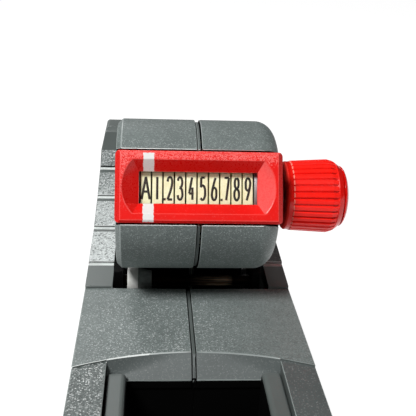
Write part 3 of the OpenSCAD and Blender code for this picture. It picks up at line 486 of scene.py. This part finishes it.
def grow(name, seed, sizes, build, paint):
    """Runs a geometry tree with these named sizes on a seed mesh, and gives the result as a plain mesh."""
    tree = bpy.data.node_groups.new(name, "GeometryNodeTree")
    settings = {**sizes, "Material": paint}
    identifiers = {}
    tree.interface.new_socket("Geometry", in_out="INPUT", socket_type="NodeSocketGeometry")
    for label, value in settings.items():
        kind = {int: "NodeSocketInt", float: "NodeSocketFloat"}.get(type(value), "NodeSocketMaterial")
        identifiers[label] = tree.interface.new_socket(label, in_out="INPUT", socket_type=kind).identifier
    tree.interface.new_socket("Geometry", in_out="OUTPUT", socket_type="NodeSocketGeometry")
    source = add(tree, "NodeGroupInput").node.outputs
    solid = add(tree, "GeometryNodeRealizeInstances", {"Geometry": build(tree, source)})
    painted = add(tree, "GeometryNodeSetMaterial", {"Geometry": solid, "Material": source["Material"]})
    add(tree, "NodeGroupOutput", {"Geometry": painted})
    holder = bpy.data.objects.new(name, seed)
    bpy.context.scene.collection.objects.link(holder)
    modifier = holder.modifiers.new(name, "NODES")
    modifier.node_group = tree
    for label, value in settings.items():
        modifier[identifiers[label]] = value
    mesh = bpy.data.meshes.new_from_object(holder.evaluated_get(bpy.context.evaluated_depsgraph_get()))
    holder.modifiers.remove(modifier)
    bpy.data.objects.remove(holder)
    return mesh


def ring(tree, source):
    """Copies of the seed turned about X in even steps."""
    points = add(tree, "GeometryNodeMeshLine", {"Count": source["Count"], "Offset": (0, 0, 0)})
    step = add(tree, MATH, (math.tau, source["Count"]), operation="DIVIDE")
    turn = add(tree, MATH, (add(tree, "GeometryNodeInputIndex"), step), **TIMES)
    turn = add(tree, "ShaderNodeCombineXYZ", {"X": turn})
    turn = add(tree, "FunctionNodeEulerToRotation", (turn,))
    return add(tree, "GeometryNodeInstanceOnPoints", {
        "Points": points, "Instance": source["Geometry"], "Rotation": turn})


def coils(tree, source):
    """A round wire wound into a helix, standing on each point of the seed."""
    path = add(tree, "GeometryNodeCurveSpiral", {
        "Resolution": 20, "Rotations": source["Turns"], "Start Radius": source["Radius"],
        "End Radius": source["Radius"], "Height": source["Height"]})
    section = add(tree, "GeometryNodeCurvePrimitiveCircle", {"Resolution": 8, "Radius": source["Wire"]})
    wire = add(tree, "GeometryNodeCurveToMesh", {
        "Curve": path, "Profile Curve": section, "Fill Caps": True})
    return add(tree, "GeometryNodeInstanceOnPoints", {"Points": source["Geometry"], "Instance": wire})


def on_lip(x, y):
    """How far a place is outside the arc of the lip."""
    return math.hypot(x, y - LIP_CENTRE_Y) - LIP_R


def housing_paint(at, normal):
    """0 deck, 1 strip, 2 tile, 3 smooth, 4 lip, 5 inside, painted near black as shade, 6 ledge and the foot
    of a step face, painted as a highlight, and 7 the top of a step face, painted as shade, of a housing half;
    3 also paints the shade past a ledge.
    """
    x, y, z = at
    wide = abs(x)
    inward = normal.x * x < 0 and abs(normal.x) > 0.6
    in_hollow = wide < HOLLOW_HALF and HOLLOW_REAR < y < HOLLOW_NOSE
    if inward and DECK_Z - 2.6 < z and y < 30 and x > 0:
        return 3
    # Faces in the hollow and in the seam's narrow grooves are painted near black as shade
    if in_hollow and z > HOLLOW_FLOOR and normal.z < 0.3 and (z < DECK_Z - 1 or inward):
        return 5
    if wide < SEAM_HALF + 0.2 and abs(normal.x) > 0.6 and y > 20:
        return 5
    if SEAM_LINE < wide < SEAM_HALF and 24.5 < y < 28.5 and z > DECK_Z - 4.5:
        return 5
    if wide < 0.9 and 24 < y < 25.6 and z < DECK_Z - 3.5:
        return 5
    if y > DECK_FRONT + 0.2 and wide > WALL_IN and z > DECK_Z:
        steps = [(step - y, step_z) for step, step_z in zip(STEP_Y, STEP_Z)]
        behind, top = min(steps, key=lambda pair: abs(pair[0]))
        # A step face: painted shade at its top, a painted highlight below
        if normal.y < -0.95 and abs(behind) < 0.2:
            return 7 if z > top - STEP_SHADE else 6
        # Past a step: a painted highlight on the ledge, then painted shade in the smooth grey
        if 0 < behind < LEDGE_SHADE:
            return 6 if behind < LEDGE_HIGHLIGHT else 3
        if normal.z > 0.3:
            return 2 if DECK_FRONT + 10 < y < DECK_FRONT + 50.5 else 3
    if normal.z > 0.95 and DECK_Z - 1.2 < z < DECK_Z + 0.2 and HOLLOW_REAR < y < DECK_FRONT + 0.1:
        if wide < SEAM_HALF + 0.2:
            return 3
        return 0 if on_lip(x, y) > 0 else 1
    if normal.z > 0.3 and 15 < y < 35 and DECK_Z - 5.5 < z < DECK_Z and wide < WALL_IN:
        return 4
    if y < HANDLE_FRONT or abs(normal.x) > 0.9 and wide > WALL_OUT:
        return 0
    return 3


def housing_edge(at, normal):
    """8 a lightly rubbed edge, 10 and 9 edges painted with a highlight, 9 the brighter, 7 one painted as in
    shade, 3 a plain one, 5 inside, painted as shade.
    """
    x, y, z = at
    if abs(x) < HOLLOW_HALF and z < DECK_Z - 5 and HOLLOW_REAR < y < HOLLOW_NOSE:
        return 5
    # The lip's arc edge is painted with a highlight, brightest on the left
    if abs(on_lip(x, y)) < 0.4 and z > DECK_Z - 1:
        return 9 if x < -9 else 10 if x < 1 else 8
    if y > DECK_FRONT - 0.5 and abs(x) > WALL_IN and z > DECK_Z + 0.2:
        if min(abs(y - step) for step in STEP_Y) > 0.4:
            return 3
        return 7 if normal.y < -0.75 else 9
    return 8


def by_seam(at):
    """Whether an edge lies in the narrow seam on the lip or in the wall below it."""
    return abs(at.x) < 0.9 and 24 < at.y < 34


def housing_copy(node):
    """A copy of a housing split where the paint changes along the steps and in the seam."""
    bm = cad_copy(node)
    cuts = [((0, y - back, 0), (0, 1, 0)) for y in STEP_Y for back in (LEDGE_HIGHLIGHT, LEDGE_SHADE)]
    cuts += [((0, 0, z - STEP_SHADE), (0, 0, 1)) for z in STEP_Z]
    cuts += [((side * x, 0, 0), (1, 0, 0)) for side in (-1, 1) for x in (SEAM_LINE, SEAM_HALF)]
    for place, across in cuts:
        bmesh.ops.bisect_plane(bm, geom=bm.verts[:] + bm.edges[:] + bm.faces[:], dist=1e-6,
                               plane_co=Vector(place) * MM, plane_no=across)
    return bm


def dress_housings():
    """Both halves; the right one's strip and tiles have fewer painted glints and are painted darker as shade
    than the left one's.
    """
    shared = [SMOOTH_GREY, LIP_GRAIN, INSIDE_SHADE_GREY, HIGHLIGHT_GREY, RISER_SHADE_GREY]
    shared += [WORN_GREY, HIGHLIGHT_GREY, LIP_HIGHLIGHT_GREY]
    halves = (("housing_left", STRIP_GRAIN, TILE_SHEEN_GRAIN), ("housing_right", STRIP_SHADE_GRAIN, TILE_SHADE_GRAIN))
    for node, strip, tile in halves:
        settle(housing_copy(node), node + "_shell", node, [DECK_GRAIN, strip, tile] + shared,
               housing_paint, round_mm=0.28, edge_paint=8, edge_choose=housing_edge, crisp=by_seam)


def cradle_paint(at, normal):
    """0 the rails and the outside, 1 the inside of the label bay, painted near black as shade."""
    return 1 if abs(at.x) < BAY_HALF + 0.1 and 2.9 < at.z < DECK_Z - 2.9 else 0


def head_paint(at, normal):
    """0 the outer skin, 1 the strip along the seam, 2 the inside and the snout, painted near black as shade.
    """
    local = HEAD_FRAME.inverted() @ at
    radius = math.hypot(local.y, local.z)
    end_face = abs(local.x) > 13 and abs(normal.x) > 0.3 and normal.x * local.x > 0
    if abs(local.x) < SEAM_HALF + 0.02 and radius > BARREL_R - 0.8:
        return 1 if abs(normal.x) < 0.5 else 2
    if end_face or BARREL_R - 0.3 < radius < BARREL_R + 0.1:
        return 0
    return 2


def bush_paint(at, normal):
    """0 the lit end of the bush, 1 the rest, painted grey as shade."""
    return 0 if at.x < -12.6 else 1


def frame_paint(at, normal):
    """0 the face and what faces up, 1 the dull bevel at the knob's end, painted pale as sheen, 3 the other
    bevels, painted darker as shade.
    """
    if normal.x < -0.3 and at.x > 8:
        return 1
    facing = HEAD_FRAME.inverted().to_3x3() @ normal
    return 0 if facing.y < -0.97 or facing.z > 0.3 else 3


def head_edge(at, normal):
    """4 the edges above and below the window, painted with a highlight, 3 the other outer edges, 2 those
    inside, painted near black as shade.
    """
    local = HEAD_FRAME.inverted() @ at
    if math.hypot(local.y, local.z) < BARREL_R - 1.6:
        return 2
    return 4 if 6 < abs(local.z) < 10 and local.y < -12 and abs(normal.x) < 0.15 else 3


def dress_head():
    """The two shells of the head, the window frame and the collar behind the knob."""
    for node in ("head_shell_left", "head_shell_right"):
        settle(cad_copy(node), node + "_skin", node,
               [HEAD_GRAIN, SMOOTH_GREY, INSIDE_SHADE_GREY, WORN_GREY, HIGHLIGHT_GREY],
               head_paint, round_mm=0.16, edge_paint=3, edge_choose=head_edge)
    settle(cad_copy("window_frame"), "window_frame_red", "window_frame",
           [RED_FRAME, SHEEN_RED, WORN_HIGHLIT_RED, BEVEL_SHADE_RED],
           frame_paint, round_mm=0.14, edge_paint=2)
    settle(cad_copy("knob_collar"), "knob_collar_red", "knob_collar", [COLLAR_SHADE_RED], None, round_mm=0.12)


def knob_radius(x):
    """Radius over the ridges of the knob at a distance from its neck end."""
    straight = KNOB_L - SHOULDER_L
    if x < straight:
        return KNOB_R - KNOB_TAPER * (straight - x) / (straight - NECK_L)
    return KNOB_R - 1.4 * ((x - straight) / SHOULDER_L) ** 1.5


RIDGE_H = 0.4
RIDGE_END = KNOB_L - 1.25


def lathe(profile, turns):
    """A skin turned about X from (X, radius) points."""
    bm = bmesh.new()
    rows = []
    for x, radius in profile:
        angles = [math.tau * k / turns for k in range(turns if radius else 1)]
        rows.append([bm.verts.new((x, radius * math.sin(a), radius * math.cos(a))) for a in angles])
    for a, b in zip(rows, rows[1:]):
        for k in range(turns):
            corners = [a[k % len(a)], a[(k + 1) % len(a)], b[(k + 1) % len(b)], b[k % len(b)]]
            bm.faces.new(list(dict.fromkeys(corners)))
    bmesh.ops.recalc_face_normals(bm, faces=bm.faces)
    return bm


def ridge_mesh():
    """One ridge of the knob, above the axis, with sloping sides and ends."""
    bm = bmesh.new()
    stations = [(NECK_L - 0.05, 0.3), (NECK_L + 0.2, 1.0)]
    stations += [(NECK_L + 0.2 + (RIDGE_END - 0.5 - NECK_L) * k / 8, 1.0) for k in range(1, 9)]
    stations += [(RIDGE_END + 0.1, 0.0)]
    section = [(-0.62, -0.2), (-0.54, 0.6), (-0.4, 1.0), (0.4, 1.0), (0.54, 0.6), (0.62, -0.2)]
    rows = []
    for x, rise in stations:
        floor = knob_radius(x) - RIDGE_H
        rows.append([bm.verts.new((x, side, floor + RIDGE_H * up * (rise if up > 0 else 1.0)))
                     for side, up in section])
    for a, b in zip(rows, rows[1:]):
        for k in range(len(section) - 1):
            bm.faces.new((a[k], b[k], b[k + 1], a[k + 1]))
    for row in (rows[0], rows[-1]):
        bm.faces.new(row)
    bmesh.ops.recalc_face_normals(bm, faces=bm.faces)
    mesh = bpy.data.meshes.new("ridge")
    bm.to_mesh(mesh)
    bm.free()
    return mesh


def knob_paint(at, normal):
    """0 a ridge, 1 the floor between, painted darker as shade, 2 the polished neck and shoulder, 3 the
    ridges' ends, painted with a glint, 4 the back.
    """
    local = HEAD_FRAME.inverted() @ at - Vector((KNOB_X0, 0, 0))
    if local.x < 0.4:
        return 4
    if local.x < NECK_L - 0.05 or local.x > RIDGE_END + 0.1:
        return 2
    if local.x < NECK_L + 0.2 and normal.x < -0.3:
        return 3
    return 1 if math.hypot(local.y, local.z) < knob_radius(local.x) - RIDGE_H * 0.8 else 0


def dress_knob():
    """The knob: a turned core with a ring of ridges on it."""
    neck = KNOB_R - KNOB_TAPER
    profile = [(0.0, 0.0), (0.0, neck - 0.8), (0.15, neck - 0.4), (0.45, neck - 0.14)]
    profile.append((NECK_L - 0.1, neck - 0.1))
    floor = [NECK_L + (RIDGE_END - 0.5 - NECK_L) * k / 8 for k in range(9)]
    profile += [(x, knob_radius(x) - RIDGE_H) for x in floor]
    profile += [(x, knob_radius(x)) for x in (RIDGE_END, RIDGE_END + 0.4, RIDGE_END + 0.8, KNOB_L)]
    profile.append((KNOB_L, 0.0))
    bm = lathe(profile, 102)
    bm.from_mesh(grow("knob ridges", ridge_mesh(), {"Count": FLUTES}, ring, RED))
    bm.transform(Matrix.Scale(MM, 4) @ HEAD_FRAME @ Matrix.Translation((KNOB_X0, 0, 0)))
    settle(bm, "selector_knob_red", "selector_knob", [RED, GROOVE_SHADE_RED, GLOSS_RED, GLINT_RED, DULL_RED],
           knob_paint)


def dress_springs():
    """The two return springs, wound at one length; nothing here shortens them as the lever is squeezed."""
    seed = bpy.data.meshes.new("spring feet")
    x, y, z = SPRING_AT
    seed.from_pydata([(side * x * MM, y * MM, (z + SPRING_WIRE) * MM) for side in (-1, 1)], [], [])
    wound = grow("return springs", seed, {
        "Turns": float(SPRING_TURNS), "Radius": SPRING_R * MM, "Wire": SPRING_WIRE * MM,
        "Height": (SPRING_L - 2 * SPRING_WIRE) * MM}, coils, STEEL)
    bm = bmesh.new()
    bm.from_mesh(wound)
    piece = settle(bm, "return_springs_wound", "return_springs", [STEEL])
    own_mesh(piece)


# Nodes that keep one finish all over, with the rounding of their edges in millimetres
PLAIN = {
    # The roll hubs, rocker arms and head carrier are painted near black as shade
    "roll_hub_left": (INSIDE_SHADE_GREY, 0.2),
    "roll_hub_right": (INSIDE_SHADE_GREY, 0.2),
    "squeeze_lever": (SMOOTH_GREY, 0.5),
    "rocker_arm_left": (INSIDE_SHADE_GREY, 0.25),
    "rocker_arm_right": (INSIDE_SHADE_GREY, 0.25),
    "head_carrier": (INSIDE_SHADE_GREY, 0.2),
    "nose_cover": (GRAIN, 0.4),
    "bottom_door": (GRAIN, 0.25),
    "print_bed": (RUBBER, 0.3),
    "peel_bar": (STEEL, 0.1),
    "pivot_pins": (STEEL, 0.25),
    "feed_axle": (STEEL, 0.2),
    "roller_axle": (STEEL, 0.2),
    "door_pin_rod": (STEEL, 0.15),
    "nose_pin_rod": (STEEL, 0.15),
    "ink_pin_rod": (STEEL, 0.15),
    "cross_shaft": (SHAFT_SHADE_AND_GLINT, 0.15),
    "wheel_spacers": (ALUMINIUM, 0.15),
    "type_anvil": (DARK_GREY, 0.2),
    "type_bands": (CREAM, 0.1),
    "pawl_pin": (STEEL, 0.15),
    "drive_tube": (STEEL, 0.1),
    "selector_rod": (STEEL, 0.1),
    "feed_wheel": (ACETAL, 0.15),
    "ratchet_wheel": (ACETAL, 0.1),
    "feed_pawl": (ACETAL, 0.2),
    "applicator_roller": (RUBBER, 0.6),
    "ink_arm": (DARK_GREY, 0.2),
    "ink_axle": (STEEL, 0.15),
    "ink_roller": (FOAM, 0.5),
    "housing_screws": (STEEL, 0.12),
    "lever_screws": (STEEL, 0.1),
    "knob_cap": (GLOSS_RED, 0.1)}


def dress_plain_pieces():
    """The nodes with one finish, the label cradle and the bush."""
    for node, (paint, round_mm) in PLAIN.items():
        settle(cad_copy(node), node + "_part", node, [paint], None, round_mm=round_mm)
    settle(cad_copy("label_cradle"), "label_cradle_part", "label_cradle",
           [SMOOTH_GREY, INSIDE_SHADE_GREY], cradle_paint, round_mm=0.45)
    settle(cad_copy("shaft_bush"), "shaft_bush_part", "shaft_bush",
           [ACETAL, SHADED_ACETAL], bush_paint, round_mm=0.3)


def oval(x, y, across, up):
    """A closed round stroke."""
    return [(x + across * math.sin(math.tau * k / 8), y + up * math.cos(math.tau * k / 8)) for k in range(9)]


SIX = [(0.78, 1), (0.36, 0.68), (0.05, 0.36), (0.1, 0.1), (0.5, 0), (0.9, 0.1), (0.98, 0.32), (0.8, 0.52),
       (0.45, 0.55), (0.1, 0.42)]
# Each sign is drawn with a few strokes in a box one unit wide and high; strokes of two points are straight
STROKES = {
    "A": [[(0, 0), (0.5, 1)], [(0.5, 1), (1, 0)], [(0.2, 0.34), (0.8, 0.34)]],
    "1": [[(0.5, 1), (0.5, 0)]],
    "2": [[(0, 0.8), (0.12, 0.94), (0.5, 1), (0.9, 0.9), (0.95, 0.7), (0.62, 0.38)], [(0.62, 0.38), (0, 0)],
          [(0, 0), (1, 0)]],
    "3": [[(0.02, 0.84), (0.2, 0.97), (0.5, 1), (0.88, 0.9), (0.9, 0.67), (0.65, 0.55), (0.4, 0.53)],
          [(0.4, 0.53), (0.78, 0.48), (1, 0.3), (0.88, 0.08), (0.5, 0), (0.15, 0.05), (0, 0.2)]],
    "4": [[(0.62, 1), (0, 0.28)], [(0, 0.28), (1, 0.28)], [(0.72, 0.55), (0.72, 0)]],
    "5": [[(0.95, 1), (0.15, 1)], [(0.15, 1), (0.08, 0.56)],
          [(0.08, 0.56), (0.4, 0.65), (0.82, 0.58), (1, 0.34), (0.85, 0.1), (0.45, 0), (0, 0.08)]],
    "6": [SIX],
    "7": [[(0, 1), (1, 1)], [(1, 1), (0.4, 0)]],
    "8": [oval(0.5, 0.76, 0.43, 0.24), oval(0.5, 0.26, 0.5, 0.26)],
    "9": [[(1 - x, 1 - y) for x, y in SIX]],
    "0": [oval(0.5, 0.5, 0.5, 0.5)],
    "-": [[(0, 0.5), (1, 0.5)]],
    ".": [[(0, 0.01), (0.46, 0.01)]]}
SIGN_H = 5.45
STROKE = 0.52
WHEEL_SIGNS = "A1234567890-"
SHOWN = ["A", "1", ".2", "3", "4", "5", "6", ".7", "8", "9"]


def sign_mesh(sign):
    """A character drawn with round strokes that are pressed flat, centred, in millimetres."""
    curve = bpy.data.curves.new("sign", "CURVE")
    curve.dimensions = "3D"
    curve.bevel_depth = STROKE / 2
    curve.bevel_resolution = 1
    curve.resolution_u = 4
    curve.use_fill_caps = True
    wide = {"1": 0.0, "A": 1.75}.get(sign[-1], 1.0)
    shift = 0.28 if len(sign) > 1 else 0.0
    parts = [(stroke, wide, shift - wide / 2) for stroke in STROKES[sign[-1]]]
    if len(sign) > 1:
        parts += [(stroke, 1.0, shift - wide / 2 - 0.86) for stroke in STROKES["."]]
    for stroke, across, left in parts:
        spline = curve.splines.new("BEZIER")
        spline.bezier_points.add(len(stroke) - 1)
        for point, (x, y) in zip(spline.bezier_points, stroke):
            point.co = (left + x * across, (y - 0.5) * (SIGN_H - STROKE), 0)
            point.handle_left_type = "AUTO" if len(stroke) > 2 else "VECTOR"
            point.handle_right_type = point.handle_left_type
    holder = bpy.data.objects.new("sign", curve)
    bpy.context.scene.collection.objects.link(holder)
    mesh = bpy.data.meshes.new_from_object(holder.evaluated_get(bpy.context.evaluated_depsgraph_get()))
    bpy.data.objects.remove(holder)
    bpy.data.curves.remove(curve)
    mesh.transform(Matrix.Diagonal((1, 1, 0.15, 1)))
    return mesh


def dress_wheels():
    """The ten type wheels, each with its twelve printed signs."""
    for i in range(10):
        node = f"type_wheel_{i + 1}"
        settle(cad_copy(node), node + "_body", node, [CREAM], None, round_mm=0.12)
        bm = bmesh.new()
        middle = PACK_X0 + (i + 0.5) * COLUMN_PITCH
        first = WHEEL_SIGNS.index(SHOWN[i][-1])
        for k in range(12):
            flat = sign_mesh(SHOWN[i] if k == 0 else WHEEL_SIGNS[(first + k) % 12])
            turn = HEAD_FRAME @ Matrix.Rotation(-math.radians(30 * k), 4, "X") @ Matrix(
                ((1, 0, 0, middle), (0, 0, -1, -WHEEL_FLAT), (0, 1, 0, 0), (0, 0, 0, 1)))
            flat.transform(turn)
            bm.from_mesh(flat)
            bpy.data.meshes.remove(flat)
        bmesh.ops.scale(bm, vec=(MM, MM, MM), verts=bm.verts)
        printed = settle(bm, node + "_print", None, [INK])
        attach(printed, node)


def add_light(name, at, size, power):
    """A round soft lamp that looks at the middle of the part."""
    lamp = bpy.data.lights.new(name, "AREA")
    lamp.shape = "DISK"
    lamp.size = size
    lamp.energy = power
    item = bpy.data.objects.new(name, lamp)
    bpy.context.scene.collection.objects.link(item)
    item.location = at
    item.rotation_euler = (LIT_MIDDLE - Vector(at)).to_track_quat("-Z", "Y").to_euler()


# Where the lamps look, and where the floor is in the part's shade, in metres
LIT_MIDDLE = Vector((0, 0.05, 0.06))
SHADE_MIDDLE = (0, -0.05, 0)
SHADE_FADE = (0.03, 0.14)
FLOOR_HALF = 3.0

# The camera's place in millimetres, its turns in degrees, and its focal length in pixels of the frame
CAMERA_AT = Vector((-9.6, -93.88, 143.89))
CAMERA_TURNS = (5.18, 23.15, 2.69)
FOCAL_PX = 700
FRAME_PX = 416


def add_camera():
    """The camera at the photograph's viewing angle."""
    yaw, pitch, roll = [math.radians(turn) for turn in CAMERA_TURNS]
    ahead = Vector((math.sin(yaw) * math.cos(pitch), math.cos(yaw) * math.cos(pitch), -math.sin(pitch)))
    level = Vector((math.cos(yaw), -math.sin(yaw), 0))
    upright = level.cross(ahead)
    right = level * math.cos(roll) + upright * math.sin(roll)
    above = upright * math.cos(roll) - level * math.sin(roll)
    lens = bpy.data.cameras.new("camera")
    lens.sensor_width = 36.0
    lens.lens = lens.sensor_width * FOCAL_PX / FRAME_PX
    lens.clip_start = 0.005
    lens.clip_end = 50
    item = bpy.data.objects.new("camera", lens)
    bpy.context.scene.collection.objects.link(item)
    turn = Matrix((right, above, -ahead)).transposed().to_4x4()
    item.matrix_world = Matrix.Translation(CAMERA_AT * MM) @ turn
    bpy.context.scene.camera = item


def add_stage():
    """A white paper sweep that glows to plain white away from the part, with its glow dimmed near the part as
    a painted shadow, and three soft lamps.
    """
    mesh = bpy.data.meshes.new("floor")
    low = CAD_BOX[0].z - 0.0001
    corners = [(x * FLOOR_HALF, y * FLOOR_HALF, low) for x, y in ((-1, -1), (1, -1), (1, 1), (-1, 1))]
    mesh.from_pydata(corners, [], [(0, 1, 2, 3)])
    paper, tree, shader, place = new_material("white_paper_sweep")
    fibre = add(tree, NOISE, {"Vector": place, "Scale": per_metre(30.0)})
    skin = add(tree, MIX, {0: fibre, 6: linear("#5c5c5c"), 7: linear("#626262")}, **COLOUR)
    # Painted shadow: the glow is dimmed near the part
    away = add(tree, VECTOR, (place, SHADE_MIDDLE), "Value", operation="DISTANCE")
    glow = add(tree, RANGE, (away, *SHADE_FADE, 0.4, 0.97))
    shader.inputs["Roughness"].default_value = 0.9
    shader.inputs["Emission Color"].default_value = linear("#ffffff")
    tree.links.new(skin, shader.inputs["Base Color"])
    tree.links.new(glow, shader.inputs["Emission Strength"])
    mesh.materials.append(paper)
    floor = bpy.data.objects.new("floor", mesh)
    bpy.context.scene.collection.objects.link(floor)
    world = bpy.data.worlds.new("studio")
    world.use_nodes = True
    sky = world.node_tree.nodes["Background"].inputs
    sky["Color"].default_value = linear("#ffffff")
    sky["Strength"].default_value = 0.04
    bpy.context.scene.world = world
    bpy.context.scene.view_settings.view_transform = "Standard"
    add_light("key_upper_left", (-0.36, -0.32, 0.81), 0.25, 8.5)
    add_light("sheen_over_nose", (-0.27, 0.73, 0.58), 0.3, 2.3)
    add_light("fill_upper_right", (0.45, -0.35, 0.75), 0.4, 0.8)


add_camera()
dress_housings()
dress_head()
dress_knob()
dress_springs()
dress_plain_pieces()
dress_wheels()
add_stage()
